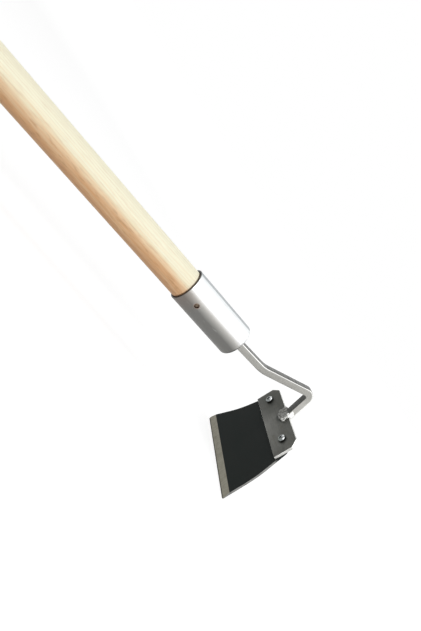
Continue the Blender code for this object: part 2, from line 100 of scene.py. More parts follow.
SCREW_HEAD_TOP_RADIUS = 0.0016
SCREW_HOLE_RADIUS = 0.0023
SCREW_END_BEYOND_NUT = 0.0012
WASHER_RADIUS = 0.0045
WASHER_THICKNESS = 0.0008
NUT_ACROSS_FLATS = 0.0070
NUT_HEX_HEIGHT = 0.0034
NUT_COLLAR_HEIGHT = 0.0016
NUT_COLLAR_RADIUS = 0.0033
NUT_INSERT_WALL = 0.0004
NUT_INSERT_HEIGHT = 0.0010
TOUCH = 0.0003

HANDLE_RADIUS = HANDLE_DIAMETER / 2
BORE_RADIUS = HANDLE_RADIUS + FERRULE_CLEARANCE
FERRULE_RADIUS = BORE_RADIUS + FERRULE_WALL
BLADE_TOP = -(PLATE_THICKNESS + TOUCH)
BLADE_BACK = BLADE_TOP - BLADE_THICKNESS
BLADE_TANG_DEPTH = PLATE_DEPTH / 2 + BLADE_BEHIND_SCREWS
BEVEL_START = BLADE_FREE_LENGTH - BLADE_BEVEL
NUT_SEAT = BLADE_BACK - 2 * TOUCH - WASHER_THICKNESS
NUT_END = NUT_SEAT - NUT_HEX_HEIGHT - NUT_COLLAR_HEIGHT

# Values of finer shapes that only this script has
TIP_RADIUS = 0.0001
NAIL_HEAD_UNEVEN = 0.00010
BAR_BULGE = 0.055
PLATE_ROUNDING = 0.00035
BLADE_ROUNDING = 0.00018
WASHER_ROUNDING = 0.0002
INSERT_ROUNDING = 0.0001
THREAD_PITCH = 0.0007
THREAD_DEPTH = 0.00038
THREAD_STEPS = 36
THREAD_STEPS_PER_TURN = 8
THREAD_START_RADIUS = 0.0014
THREAD_START_SLOPE = 1.2
SCREW_TIP_RADIUS = 0.0013
SCREW_TIP_LENGTH = 0.0002
SCREW_HEAD_ROUNDING = 0.00025
# Levels of a screw's cross recess: height over the head's top, length and width of the cross
RECESS_LEVELS = ((0.001, 0.0050, 0.00125), (-0.0001, 0.0046, 0.0011),
                 (-0.0019, 0.0022, 0.0007), (-0.0022, 0.0008, 0.0005))
RECESS_REACH = 0.0026
SCREW_DOME = SCREW_HEAD_HEIGHT - SCREW_HEAD_RIM
NUT_CHAMFER = 0.0004
NUT_COLLAR_ROUNDING = 0.0002

# The camera as fitted to the photograph, in the tool frame
CAMERA_LENS = 35.683
CAMERA_PLACE = Vector((-0.2807, -0.5229, 0.1187))
CAMERA_FORWARD = Vector((0.4126, 0.8874, -0.2057))
CAMERA_RIGHT = Vector((0.6015, -0.0958, 0.7931))

# The studio; each lamp is a name, a place, the point that it faces, a size and a power
FLOOR_LIFT = 0.67
FLOOR_FADE_START = 1.0
FLOOR_FADE_END = 2.2
FLOOR_HALF_WIDTH = 12.0
FLOOR_DROP = 0.0002
WORLD_LIGHT = 0.15
LAMPS = (
    ("front", (0.62, -1.26, 0.96), (0.62, 0.0, 0.06), (2.2, 0.8), 18.8),
    ("top", (0.60, -0.26, 1.53), (0.58, 0.0, 0.06), (2.2, 0.55), 7.0),
    ("back", (0.62, 1.30, 0.90), (0.62, 0.0, 0.06), (2.2, 0.8), 4.0),
)


# Frames: the tool's, the plate's and one for each screw and the nail
def axes(x, y, z, origin):
    matrix = Matrix((x, y, z)).transposed().to_4x4()
    matrix.translation = origin
    return matrix


def tool_frame():
    mount = next(m for m in frame["record"]["mounts"] if m["name"] == "handle_butt")
    x = -Vector(mount["axis"]).normalized()
    y = Vector((0.0, 1.0, 0.0))
    z = x.cross(y)
    butt_to_origin = HANDLE_LENGTH - HANDLE_TIP_X
    return axes(x, y, z, Vector(mount["pos_m"]) + x * butt_to_origin + z * HANDLE_SIT)


def direction(angle):
    return Vector((math.cos(angle), 0.0, math.sin(angle)))


def neck_corners():
    start = -direction(NECK_ANGLE_1) * (FERRULE_END_WALL + BAR_INSIDE)
    bend_1 = direction(NECK_ANGLE_1) * NECK_RUN_1
    bend_2 = bend_1 + direction(NECK_ANGLE_2) * NECK_RUN_2
    plate_edge = bend_2 + direction(NECK_ANGLE_3) * NECK_RUN_3
    end = plate_edge + direction(NECK_ANGLE_3) * (NOTCH_DEPTH / math.cos(PLATE_TILT))
    return start, bend_1, bend_2, plate_edge, end


def plate_frame():
    plate_edge = neck_corners()[3]
    along = direction(NECK_ANGLE_3 - PLATE_TILT)
    outward = direction(NECK_ANGLE_3 - PLATE_TILT - math.pi / 2)
    return axes(along, outward.cross(along), outward, plate_edge + outward * PLATE_FACE_ABOVE_BAR)


def screw_place(side):
    """Where a screw's axis meets the plate's face; side is 1 for the near screw, -1 for the far."""
    from_middle = PLATE_WIDTH / 2 - SCREW_FROM_PLATE_END
    return Vector((PLATE_DEPTH / 2, side * from_middle - SCREWS_OFF_CENTRE, 0.0))


def screw_frame(side):
    turn = Matrix.Rotation(-math.pi / 2, 4, "Y")
    return PLATE @ Matrix.Translation(screw_place(side)) @ turn


def nail_frame():
    outward = Vector((0.0, -math.cos(NAIL_ANGLE), math.sin(NAIL_ANGLE)))
    along = Vector((1.0, 0.0, 0.0))
    place = Vector((NAIL_FROM_RIM - FERRULE_LENGTH, 0.0, 0.0))
    return TOOL @ axes(outward, along, outward.cross(along), place)


TOOL = tool_frame()
PLATE = TOOL @ plate_frame()
NAIL = nail_frame()


# Shader graphs
class Graph:
    """Helpers that add nodes to a tree. A value is a socket or a constant."""

    def __init__(self, tree):
        self.tree = tree

    def node(self, kind, inputs=None, **settings):
        made = self.tree.nodes.new("ShaderNode" + kind)
        for key, value in settings.items():
            setattr(made, key, value)
        for key, value in (inputs or {}).items():
            if isinstance(value, bpy.types.NodeSocket):
                self.tree.links.new(value, made.inputs[key])
            else:
                made.inputs[key].default_value = value
        return made

    def place(self):
        """Object coordinates, in metres."""
        return self.node("TexCoord").outputs["Object"]

    def place_in(self, axes):
        """Object coordinates as seen from another frame."""
        back = axes.inverted()
        made = self.node("Mapping", {"Vector": self.place(), "Location": back.translation,
                                     "Rotation": back.to_euler()})
        return made.outputs["Vector"]

    def attribute(self, name, output="Vector"):
        return self.node("Attribute", attribute_name=name).outputs[output]

    def distance(self, vector, point):
        return self.node("VectorMath", {0: vector, 1: point}, operation="DISTANCE").outputs["Value"]

    def parts(self, vector):
        return self.node("SeparateXYZ", {"Vector": vector}).outputs

    def noise(self, vector, scale, detail=3.0, roughness=0.55, distortion=0.0, shift=0.0):
        """Noise with scale waves a metre along each axis; shift picks another place in it."""
        moved = self.node("Mapping", {"Vector": vector, "Scale": scale,
                                      "Location": (shift, shift, shift)})
        made = self.node("TexNoise", {"Vector": moved.outputs["Vector"], "Scale": 1.0, "Detail": detail,
                                      "Roughness": roughness, "Distortion": distortion})
        return made.outputs["Fac"]

    def ramp(self, value, *stops):
        made = self.node("ValToRGB", {"Fac": value})
        elements = made.color_ramp.elements
        while len(elements) < len(stops):
            elements.new(0.5)
        for element, (position, colour) in zip(elements, stops):
            element.position = position
            grey = isinstance(colour, (int, float))
            element.color = (colour, colour, colour, 1.0) if grey else (*colour, 1.0)
        return made.outputs["Color"]

    def math(self, operation, a, b=0.0, clamp=False):
        made = self.node("Math", {0: a, 1: b}, operation=operation, use_clamp=clamp)
        return made.outputs["Value"]

    def plus(self, a, b, clamp=False):
        return self.math("ADD", a, b, clamp)

    def times(self, a, b, clamp=False):
        return self.math("MULTIPLY", a, b, clamp)

    def remap(self, value, low, high, new_low=0.0, new_high=1.0):
        """Carries low to new_low and high to new_high, and goes past neither."""
        made = self.node("MapRange", {"Value": value, "From Min": low, "From Max": high,
                                      "To Min": new_low, "To Max": new_high})
        return made.outputs["Result"]

    def mix(self, factor, a, b):
        made = self.node("Mix", data_type="RGBA")
        for socket, value in zip((made.inputs[0], made.inputs[6], made.inputs[7]), (factor, a, b)):
            if isinstance(value, bpy.types.NodeSocket):
                self.tree.links.new(value, socket)
            else:
                socket.default_value = value if socket.type == "VALUE" else (*value, 1.0)
        return made.outputs[2]

    def bump(self, height, distance, strength):
        made = self.node("Bump", {"Height": height, "Distance": distance, "Strength": strength})
        return made.outputs["Normal"]


class Surface(Graph):
    """A principled material: constants are set on its shader, and nodes feed the rest."""

    def __init__(self, name, **sockets):
        self.material = bpy.data.materials.new(name)
        self.material.use_nodes = True
        super().__init__(self.material.node_tree)
        self.shader = self.tree.nodes["Principled BSDF"]
        for key, value in sockets.items():
            self.shader.inputs[key.replace("_", " ")].default_value = value

    def feed(self, **sockets):
        for key, value in sockets.items():
            self.tree.links.new(value, self.shader.inputs[key.replace("_", " ")])
        return self.material


# Wood: growth rings round a pith beside the handle, pores and short flecks along it; painted shade
# below, painted sheen above and a painted shadow by the ferrule's rim
WOOD_CREAM = (0.96, 0.93, 0.72)
WOOD_LIGHT = (0.95, 0.86, 0.62)
WOOD_MIDDLE = (0.95, 0.71, 0.45)
WOOD_TAN = (0.80, 0.45, 0.22)
WOOD_RING = (0.72, 0.46, 0.26)
WOOD_PORE = (0.42, 0.24, 0.13)
WOOD_RIM_SHADE = (0.10, 0.045, 0.025)
WOOD_FLECK = (0.52, 0.27, 0.13)
PITH_NEAR = 0.034
PITH_BELOW = 0.021
RINGS_PER_METRE = 380.0
RING_WANDER = 0.010


def ash_wood():
    g = Surface("ash_wood_grain", Coat_Weight=0.12, Coat_Roughness=0.34, Specular_IOR_Level=0.25)
    place = g.place_in(TOOL)
    wander = g.noise(place, (5.0, 60.0, 60.0), detail=2.0)
    x, y, z = g.parts(place)
    from_pith_y = g.plus(y, PITH_NEAR)
    from_pith_z = g.plus(z, PITH_BELOW)
    squared = g.plus(g.times(from_pith_y, from_pith_y), g.times(from_pith_z, from_pith_z))
    radius = g.plus(g.math("SQRT", squared), g.times(wander, RING_WANDER))
    ring = g.math("FRACT", g.times(radius, RINGS_PER_METRE))
    early = g.ramp(ring, (0.0, 1.0), (0.32, 0.15), (0.80, 0.0), (1.0, 0.9))
    streak = g.noise(place, (22.0, 900.0, 900.0), detail=3.0, roughness=0.6)
    pores = g.remap(streak, 0.60, 0.70)
    fleck = g.remap(g.noise(place, (90.0, 620.0, 620.0), detail=2.0, shift=3.0), 0.56, 0.66)
    cloud = g.noise(place, (3.0, 70.0, 70.0), detail=4.0, shift=7.0)
    strand = g.noise(place, (26.0, 420.0, 420.0), detail=3.0, roughness=0.65, shift=12.0)
    # Painted light: the colour runs from tan below, as painted shade, to cream above, as painted sheen
    painted_light_height = g.plus(z, g.remap(cloud, 0.25, 0.75, -0.005, 0.005))
    painted_light_height = g.plus(painted_light_height, g.remap(strand, 0.3, 0.7, -0.0028, 0.0028))
    body = g.ramp(g.remap(painted_light_height, -0.009, 0.010), (0.05, WOOD_TAN), (0.46, WOOD_MIDDLE),
                  (0.72, WOOD_LIGHT), (1.00, WOOD_CREAM))
    ringed = g.mix(g.times(early, 0.22), body, WOOD_RING)
    marks = g.times(pores, g.plus(g.times(early, 0.30), 0.12), clamp=True)
    pored = g.mix(marks, ringed, WOOD_PORE)
    colour = g.mix(g.times(fleck, g.remap(painted_light_height, -0.006, 0.004, 0.42, 0.10)), pored, WOOD_FLECK)
    # Painted shadow: the wood is darkened within about a millimetre of the ferrule's rim, where it runs
    # into the gap
    at_rim = g.remap(x, -FERRULE_LENGTH - 0.0011, -FERRULE_LENGTH - 0.0006)
    colour = g.mix(g.times(at_rim, 0.85), colour, WOOD_RIM_SHADE)
    height = g.plus(g.times(pores, -0.6), g.times(early, -0.3))
    rough = g.remap(streak, 0.3, 0.7, 0.42, 0.58)
    return g.feed(Base_Color=colour, Roughness=rough, Normal=g.bump(height, 0.00006, 0.6))


# Ferrule: brushed satin steel tube, with painted shade below, a painted highlight above and a painted
# grey reflection line along its top
STEEL_PAINTED_LIGHT = ((0.36, (0.168, 0.166, 0.157)), (0.55, (0.418, 0.409, 0.385)),
                (0.65, (0.560, 0.562, 0.558)), (0.86, (0.88, 0.90, 0.905)), (0.98, (0.79, 0.81, 0.82)))
STEEL_REFLECTION_LINE = (0.30, 0.32, 0.33)
STEEL_CLOUD = (0.20, 0.20, 0.195)
STEEL_SCUFF = (0.60, 0.60, 0.60)
STEEL_WARM_REFLECTION = (0.22, 0.165, 0.135)
STEEL_HOLE_RING = (0.36, 0.24, 0.19)
STEEL_BRUSHED = (0.22, 0.22, 0.215)
STEEL_RIM_SHADE = (0.09, 0.088, 0.085)
# The painted grey reflection line: its direction from the axis, and where it starts and is full, as
# shares of the radius
LINE_UP = 0.982
LINE_FAR = 0.189
LINE_START = 0.87
LINE_FULL = 0.925


def satin_steel():
    g = Surface("satin_steel_tube", Metallic=1.0)
    place = g.place_in(TOOL)
    brushing = g.noise(place, (4200.0, 60.0, 60.0), detail=3.0, roughness=0.6)
    cloud = g.noise(place, (60.0, 90.0, 90.0), detail=5.0, roughness=0.6, shift=2.0)
    scuff = g.remap(g.noise(place, (90.0, 1400.0, 500.0), detail=2.0, shift=5.0), 0.66, 0.74)
    x, y, z = g.parts(place)
    # Painted light: the tube's base colour is dark below as shade and bright above as a highlight
    height = g.plus(z, g.remap(cloud, 0.3, 0.7, -0.0005, 0.0005))
    colour = g.ramp(g.remap(height, -FERRULE_RADIUS, FERRULE_RADIUS), *STEEL_PAINTED_LIGHT)
    # Painted reflection: a grey line along the tube's top
    towards_line = g.plus(g.times(z, LINE_UP), g.times(y, LINE_FAR))
    reflection_line = g.remap(towards_line, LINE_START * FERRULE_RADIUS, LINE_FULL * FERRULE_RADIUS)
    colour = g.mix(reflection_line, colour, STEEL_REFLECTION_LINE)
    colour = g.mix(g.remap(cloud, 0.35, 0.7, 0.0, 0.12), colour, STEEL_CLOUD)
    colour = g.mix(g.times(scuff, 0.20), colour, STEEL_SCUFF)
    # Painted reflection: a warm tint low on the tube near the rim
    warm_reflection = g.times(g.remap(x, -0.056, -0.074, 0.0, 0.35), g.remap(height, 0.006, 0.0))
    colour = g.mix(warm_reflection, colour, STEEL_WARM_REFLECTION)
    # A reddish ring round the nail hole
    from_hole = g.distance(g.place_in(NAIL), (FERRULE_RADIUS, 0.0, 0.0))
    colour = g.mix(g.remap(from_hole, 0.0032, 0.0026, 0.0, 0.7), colour, STEEL_HOLE_RING)
    colour = g.mix(g.remap(brushing, 0.35, 0.65, 0.0, 0.10), colour, STEEL_BRUSHED)
    # Painted shade: the rim's end face and lip are darkened
    at_rim = g.remap(x, -FERRULE_LENGTH + 0.0005, -FERRULE_LENGTH + 0.0003)
    colour = g.mix(g.times(at_rim, 0.9), colour, STEEL_RIM_SHADE)
    rough = g.plus(g.remap(cloud, 0.3, 0.7, 0.40, 0.48), g.remap(brushing, 0.3, 0.7, -0.02, 0.02))
    relief = g.plus(brushing, g.times(cloud, 0.5))
    return g.feed(Base_Color=colour, Roughness=rough, Normal=g.bump(relief, 0.00001, 0.5))


# Neck: ground sides, dark rolled faces with ridges, a painted highlight along one edge and near the
# plate; flow is (along, across, width)
BAR_LIGHT = (0.410, 0.405, 0.380)
BAR_DULL = (0.345, 0.340, 0.318)
BAR_FINE = (0.22, 0.215, 0.20)
BAR_NEAR_FERRULE = (0.20, 0.20, 0.185)
BAR_HIGHLIGHT_NEAR_PLATE = (0.62, 0.61, 0.58)
BAR_ROLLED = (0.115, 0.115, 0.110)
BAR_RIDGE = (0.050, 0.051, 0.048)
BAR_INNER = (0.055, 0.056, 0.053)
BAR_EDGE_HIGHLIGHT = (0.95, 0.95, 0.93)


def bar_steel():
    g = Surface("bar_steel_ground", Metallic=1.0)
    flow = g.attribute("flow")
    x, y, z = g.parts(flow)
    across = g.math("ABSOLUTE", y)
    width = g.math("ABSOLUTE", z)
    half = BAR_SIDE / 2
    onto_edge = g.remap(x, 0.100, 0.106, -0.0004, 0.0)
    rolled = g.remap(g.math("SUBTRACT", g.math("SUBTRACT", across, width), onto_edge), 0.0, 0.0002)
    inner = g.remap(y, 0.0010, -0.0010)
    last_run = g.times(inner, g.remap(x, 0.108, 0.114))
    rolled = g.math("MAXIMUM", rolled, g.times(last_run, g.remap(across, half - 0.0009, half - 0.0007)))
    # Painted highlight: a bright line along one edge of the bar
    wider = g.plus(y, g.remap(x, 0.045, 0.060, 0.0002, 0.0))
    edge_highlight = g.remap(wider, half - 0.0012, half - 0.0010)
    edge_highlight = g.times(edge_highlight, g.remap(y, half - 0.0004, half - 0.0005))
    edge_highlight = g.times(edge_highlight, g.remap(width, half - 0.0003, half - 0.0001))
    fine = g.noise(flow, (1800.0, 160.0, 160.0), detail=3.0, roughness=0.6)
    ridge = g.noise(flow, (560.0, 20.0, 20.0), detail=1.0, shift=4.0)
    cloud = g.noise(flow, (60.0, 260.0, 260.0), detail=4.0, shift=9.0)
    side = g.mix(g.remap(cloud, 0.3, 0.7), BAR_LIGHT, BAR_DULL)
    side = g.mix(g.remap(fine, 0.45, 0.75, 0.0, 0.25), side, BAR_FINE)
    side = g.mix(g.remap(x, 0.05, 0.15, 0.16, 0.0), side, BAR_NEAR_FERRULE)
    # Ground steel near the plate, painted brighter as a highlight
    side = g.mix(g.remap(x, 0.112, 0.122, 0.0, 0.3), side, BAR_HIGHLIGHT_NEAR_PLATE)
    dark = g.mix(g.remap(ridge, 0.38, 0.62), BAR_ROLLED, BAR_RIDGE)
    dark = g.mix(g.times(inner, 0.6), dark, BAR_INNER)
    colour = g.mix(rolled, side, dark)
    colour = g.mix(edge_highlight, colour, BAR_EDGE_HIGHLIGHT)
    rough = g.remap(cloud, 0.3, 0.7, 0.32, 0.46)
    tall = g.times(ridge, g.plus(rolled, 0.15))
    height = g.plus(g.times(fine, 0.5), tall)
    return g.feed(Base_Color=colour, Roughness=rough, Normal=g.bump(height, 0.00006, 0.6))


# Bracket plate: dark satin face, bright sheared edges and a soft shadow round the weld and each screw
PLATE_DARK = (0.078, 0.080, 0.072)
PLATE_LIGHT = (0.205, 0.206, 0.192)
PLATE_GRAIN = (0.055, 0.055, 0.052)
PLATE_STAIN = (0.10, 0.092, 0.072)
PLATE_SHADOW = (0.040, 0.043, 0.040)
PLATE_SHEAR = (0.62, 0.62, 0.60)
PLATE_TEAR = (0.46, 0.46, 0.44)
PLATE_CORNER = (0.95, 0.95, 0.93)
PLATE_CORNER_DULL = (0.80, 0.80, 0.78)
# A shadow is the radius where it starts to fade, the one where it ends, and its depth
WELD_SHADOW = (0.0080, 0.0102, 0.65)
SCREW_SHADOW = (0.0042, 0.0056, 0.6)
WELD_SHADOW_MIDDLE = Vector((0.0045, -0.0006, 0.0))


def plate_steel():
    g = Surface("plate_steel_satin", Metallic=1.0)
    flow = g.attribute("flow")
    edge = g.attribute("edge", "Fac")
    grain = g.noise(flow, (900.0, 60.0, 300.0), detail=4.0, roughness=0.65)
    cloud = g.noise(flow, (70.0, 70.0, 70.0), detail=5.0, roughness=0.6, distortion=0.6, shift=1.0)
    stain = g.remap(g.noise(flow, (160.0, 110.0, 160.0), detail=3.0, shift=6.0), 0.56, 0.70)
    x, y, _ = g.parts(flow)
    # The face is lighter towards the front middle and darker towards the far screw's end
    off_middle = g.math("ABSOLUTE", g.math("SUBTRACT", y, 0.006))
    lighter_front_middle = g.times(g.remap(x, 0.008, 0.026), g.remap(off_middle, 0.040, 0.008))
    shade = g.plus(g.remap(cloud, 0.32, 0.68, 0.1, 0.9), lighter_front_middle)
    shade = g.plus(shade, g.remap(y, -0.035, -0.005, -0.8, 0.0))
    colour = g.ramp(g.times(shade, 0.5), (0.0, PLATE_DARK), (1.0, PLATE_LIGHT))
    colour = g.mix(g.remap(grain, 0.4, 0.7, 0.0, 0.30), colour, PLATE_GRAIN)
    colour = g.mix(g.times(stain, 0.35), colour, PLATE_STAIN)
    tear = g.noise(flow, (260.0, 260.0, 90.0), detail=3.0, shift=8.0)
    shadows = [(WELD_SHADOW_MIDDLE, WELD_SHADOW)]
    shadows += [(screw_place(side), SCREW_SHADOW) for side in (1.0, -1.0)]
    for middle, (full, gone, depth) in shadows:
        apart = g.distance(flow, middle)
        colour = g.mix(g.remap(apart, full, gone, depth, 0.0), colour, PLATE_SHADOW)
    side = g.mix(g.remap(tear, 0.35, 0.65), PLATE_SHEAR, PLATE_TEAR)
    bare = g.mix(g.remap(edge, 0.6, 0.9), g.mix(tear, PLATE_CORNER, PLATE_CORNER_DULL), side)
    colour = g.mix(g.remap(edge, 0.1, 0.4), colour, bare)
    rough = g.remap(cloud, 0.3, 0.7, 0.38, 0.52)
    height = g.plus(grain, g.times(cloud, 2.0))
    return g.feed(Base_Color=colour, Roughness=rough, Normal=g.bump(height, 0.00005, 0.5))


# Weld: uneven bead with dark scale, painted shadows in two hollows, a painted highlight on its near
# flank and a foot of ground steel behind the plate on the near side, painted white as a highlight
WELD_LIGHT = (0.26, 0.26, 0.25)
WELD_DULL = (0.13, 0.13, 0.12)
WELD_SCALE = (0.05, 0.045, 0.038)
WELD_NEAR_HIGHLIGHT = (0.48, 0.48, 0.46)
WELD_HOLLOW_SHADOW = (0.03, 0.03, 0.028)
WELD_FOOT_HIGHLIGHT = (0.88, 0.88, 0.86)
WELD_HOLLOW_SHADOWS = ((0.0096, 0.0045, 0.0010), (0.0004, 0.0062, 0.0014))


def weld_steel():
    g = Surface("weld_steel_bead", Metallic=1.0)
    place = g.place()
    cloud = g.noise(place, (420.0, 420.0, 420.0), detail=5.0, roughness=0.65, distortion=0.4)
    scale = g.remap(g.noise(place, (900.0, 900.0, 900.0), detail=3.0, shift=3.0), 0.52, 0.66)
    colour = g.mix(g.remap(cloud, 0.35, 0.68), WELD_LIGHT, WELD_DULL)
    colour = g.mix(g.times(scale, 0.55), colour, WELD_SCALE)
    on_plate = g.place_in(PLATE)
    x, y, _ = g.parts(on_plate)
    # Painted highlight along the bead's near flank
    near_highlight = g.remap(y, 0.0052, 0.0078)
    colour = g.mix(g.times(near_highlight, 0.7), colour, WELD_NEAR_HIGHLIGHT)
    # Painted shadows in two hollows of the bead
    for hollow in WELD_HOLLOW_SHADOWS:
        apart = g.distance(on_plate, hollow)
        colour = g.mix(g.remap(apart, 0.0008, 0.0017, 0.8, 0.0), colour, WELD_HOLLOW_SHADOW)
    # Ground steel at the foot, painted white as a highlight
    foot_highlight = g.times(g.remap(y, 0.0030, 0.0042), g.remap(x, 0.0004, -0.0006))
    colour = g.mix(foot_highlight, colour, WELD_FOOT_HIGHLIGHT)
    rough = g.remap(cloud, 0.3, 0.7, 0.24, 0.46)
    return g.feed(Base_Color=colour, Roughness=rough, Normal=g.bump(cloud, 0.00015, 0.7))


# Blade: black coating, sheared sides and a ground bevel; edge is 1 on sides and 2 on the bevel
COAT_DARK = (0.0098, 0.0125, 0.0112)
COAT_LIGHT = (0.0135, 0.0180, 0.0166)
COAT_RUBBED = (0.030, 0.031, 0.028)
BEVEL_LIGHT = (0.265, 0.256, 0.210)
BEVEL_DULL = (0.183, 0.175, 0.142)
BEVEL_BLOTCH = (0.150, 0.136, 0.102)
BEVEL_LIP = (0.075, 0.069, 0.053)
BLADE_SHEAR = (0.31, 0.31, 0.30)
BLADE_TEAR = (0.18, 0.18, 0.17)


def blade_steel():
    g = Surface("blade_steel_coated", Specular_IOR_Level=0.12)
    flow = g.attribute("flow")
    zone = g.attribute("edge", "Fac")
    side = g.times(g.remap(zone, 0.4, 0.9), g.remap(zone, 1.9, 1.4))
    ground = g.remap(zone, 1.4, 1.9)
    along = g.parts(flow)["X"]
    cloud = g.noise(flow, (45.0, 30.0, 45.0), detail=5.0, roughness=0.6, distortion=0.5)
    speck = g.noise(flow, (2400.0, 2400.0, 2400.0), detail=2.0, shift=2.0)
    rub = g.remap(g.noise(flow, (35.0, 420.0, 35.0), detail=4.0, roughness=0.65, shift=5.0), 0.60, 0.78)
    coat = g.mix(g.remap(cloud, 0.3, 0.7), COAT_DARK, COAT_LIGHT)
    coat = g.mix(g.times(rub, 0.30), coat, COAT_RUBBED)
    streaks = g.noise(flow, (60.0, 2200.0, 60.0), detail=3.0, roughness=0.6, shift=7.0)
    blotch = g.noise(flow, (300.0, 160.0, 300.0), detail=4.0, shift=11.0)
    bare = g.mix(g.remap(streaks, 0.35, 0.65), BEVEL_LIGHT, BEVEL_DULL)
    bare = g.mix(g.remap(blotch, 0.5, 0.7, 0.0, 0.5), bare, BEVEL_BLOTCH)
    lip = g.remap(along, BLADE_FREE_LENGTH - 0.0016, BLADE_FREE_LENGTH - 0.0006)
    bare = g.mix(g.times(lip, 0.7), bare, BEVEL_LIP)
    torn = g.noise(flow, (240.0, 240.0, 900.0), detail=3.0, shift=8.0)
    shear = g.mix(g.remap(torn, 0.35, 0.65), BLADE_SHEAR, BLADE_TEAR)
    # Painted shade: the sheared sides take the coat's dark colour near the plate
    side_clear_of_shade = g.remap(g.plus(along, g.times(torn, 0.006)), 0.001, 0.006)
    side = g.times(side, side_clear_of_shade)
    colour = g.mix(side, coat, shear)
    colour = g.mix(ground, colour, bare)
    steel = g.plus(side, ground, clamp=True)
    rough = g.mix(steel, g.remap(cloud, 0.3, 0.7, 0.52, 0.66), g.remap(streaks, 0.3, 0.7, 0.34, 0.46))
    height = g.plus(g.times(speck, g.math("SUBTRACT", 1.0, steel)), g.times(streaks, steel))
    normal = g.bump(height, 0.00004, 0.5)
    return g.feed(Base_Color=colour, Roughness=rough, Metallic=steel, Normal=normal)


# Screws, washers and nuts: cloudy zinc plating with a painted highlight on one side of a screw's head;
# edge is 1 in a recess and 0.75 low on the head's side, both painted shade
ZINC_LIGHT = (0.31, 0.33, 0.335)
ZINC_DULL = (0.21, 0.23, 0.22)
ZINC_HIGHLIGHT = (0.80, 0.82, 0.83)
ZINC_CLOUD = (0.12, 0.13, 0.125)
ZINC_PAINTED_SHADE = (0.035, 0.038, 0.038)


def zinc_fastener():
    g = Surface("zinc_plate_bright", Metallic=1.0)
    place = g.place()
    cloud = g.noise(place, (500.0, 500.0, 500.0), detail=4.0)
    tint = g.noise(place, (240.0, 240.0, 240.0), detail=2.0, shift=4.0)
    # Painted shade in the cross recess and low on the head's side
    recess = g.attribute("edge", "Fac")
    colour = g.mix(g.remap(tint, 0.35, 0.65), ZINC_LIGHT, ZINC_DULL)
    # Painted highlight on one side of each screw's head
    bright = g.parts(g.attribute("flow"))["Z"]
    colour = g.mix(g.remap(bright, 0.0002, 0.0032, 0.0, 0.9), colour, ZINC_HIGHLIGHT)
    colour = g.mix(g.remap(cloud, 0.46, 0.60, 0.0, 0.75), colour, ZINC_CLOUD)
    colour = g.mix(recess, colour, ZINC_PAINTED_SHADE)
    rough = g.remap(cloud, 0.3, 0.7, 0.16, 0.30)
    return g.feed(Base_Color=colour, Roughness=rough, Normal=g.bump(cloud, 0.00003, 0.5))


# Nail: brownish steel
NAIL_LIGHT = (0.20, 0.15, 0.11)
NAIL_DARK = (0.085, 0.065, 0.045)


def nail_steel():
    g = Surface("nail_steel_brown", Metallic=0.8)
    place = g.place()
    cloud = g.noise(place, (700.0, 700.0, 700.0), detail=4.0)
    colour = g.mix(g.remap(cloud, 0.35, 0.65), NAIL_LIGHT, NAIL_DARK)
    rough = g.remap(cloud, 0.3, 0.7, 0.35, 0.55)
    return g.feed(Base_Color=colour, Roughness=rough, Normal=g.bump(cloud, 0.00005, 0.6))


# The lock nuts' rings: natural nylon
NYLON_LIGHT = (0.76, 0.77, 0.75)
NYLON_DULL = (0.66, 0.67, 0.64)


def nylon():
    g = Surface("nylon_natural", Specular_IOR_Level=0.5)
    place = g.place()
    cloud = g.noise(place, (600.0, 600.0, 600.0), detail=3.0)
    colour = g.mix(g.remap(cloud, 0.3, 0.7), NYLON_LIGHT, NYLON_DULL)
    rough = g.remap(cloud, 0.3, 0.7, 0.42, 0.58)
    return g.feed(Base_Color=colour, Roughness=rough, Normal=g.bump(cloud, 0.00003, 0.5))


# Mesh helpers
def new_object(name, data):
    obj = bpy.data.objects.new(name, data)
    bpy.context.scene.collection.objects.link(obj)
    return obj


def add_object(name, bm, place=TOOL):
    """Turns a mesh made in the frame place into an object."""
    bm.transform(place)
    bmesh.ops.recalc_face_normals(bm, faces=bm.faces)
    mesh = bpy.data.meshes.new(name)
    bm.to_mesh(mesh)
    bm.free()
    return new_object(name, mesh)


def bake(obj):
    """Turns the modifiers of a piece into its mesh."""
    graph = bpy.context.evaluated_depsgraph_get()
    mesh = bpy.data.meshes.new_from_object(obj.evaluated_get(graph))
    obj.modifiers.clear()
    obj.data = mesh


def carve(obj, *cutters):
    """Cuts the cutters out of a piece and removes them."""
    for cutter in cutters:
        modifier = obj.modifiers.new(cutter.name, "BOOLEAN")
        modifier.operation = "DIFFERENCE"
        modifier.solver = "EXACT"
        modifier.object = cutter
    bake(obj)
    for cutter in cutters:
        bpy.data.objects.remove(cutter, do_unlink=True)


def soften(obj, width, segments, angle=35):
    """Rounds every edge sharper than angle."""
    modifier = obj.modifiers.new("soften", "BEVEL")
    modifier.width = width
    modifier.segments = segments
    modifier.limit_method = "ANGLE"
    modifier.angle_limit = math.radians(angle)
    bake(obj)


def ring_stack(rings, closed=False):
    """A solid skinned over rings with equally many points; closed joins the last to the first."""
    bm = bmesh.new()
    loops = [[bm.verts.new(point) for point in ring] for ring in rings]
    count = len(loops[0])
    pairs = list(zip(loops, loops[1:]))
    if closed:
        pairs.append((loops[-1], loops[0]))
    for a, b in pairs:
        for i in range(count):
            j = (i + 1) % count
            bm.faces.new((a[i], a[j], b[j], b[i]))
    if not closed:
        bm.faces.new(list(reversed(loops[0])))
        bm.faces.new(loops[-1])
    return bm


def circle(x, radius, segments):
    """A ring about X; radius may be a number or a function of the angle."""
    points = []
    for i in range(segments):
        angle = 2 * math.pi * i / segments
        r = radius(angle) if callable(radius) else radius
        points.append((x, r * math.cos(angle), r * math.sin(angle)))
    return points


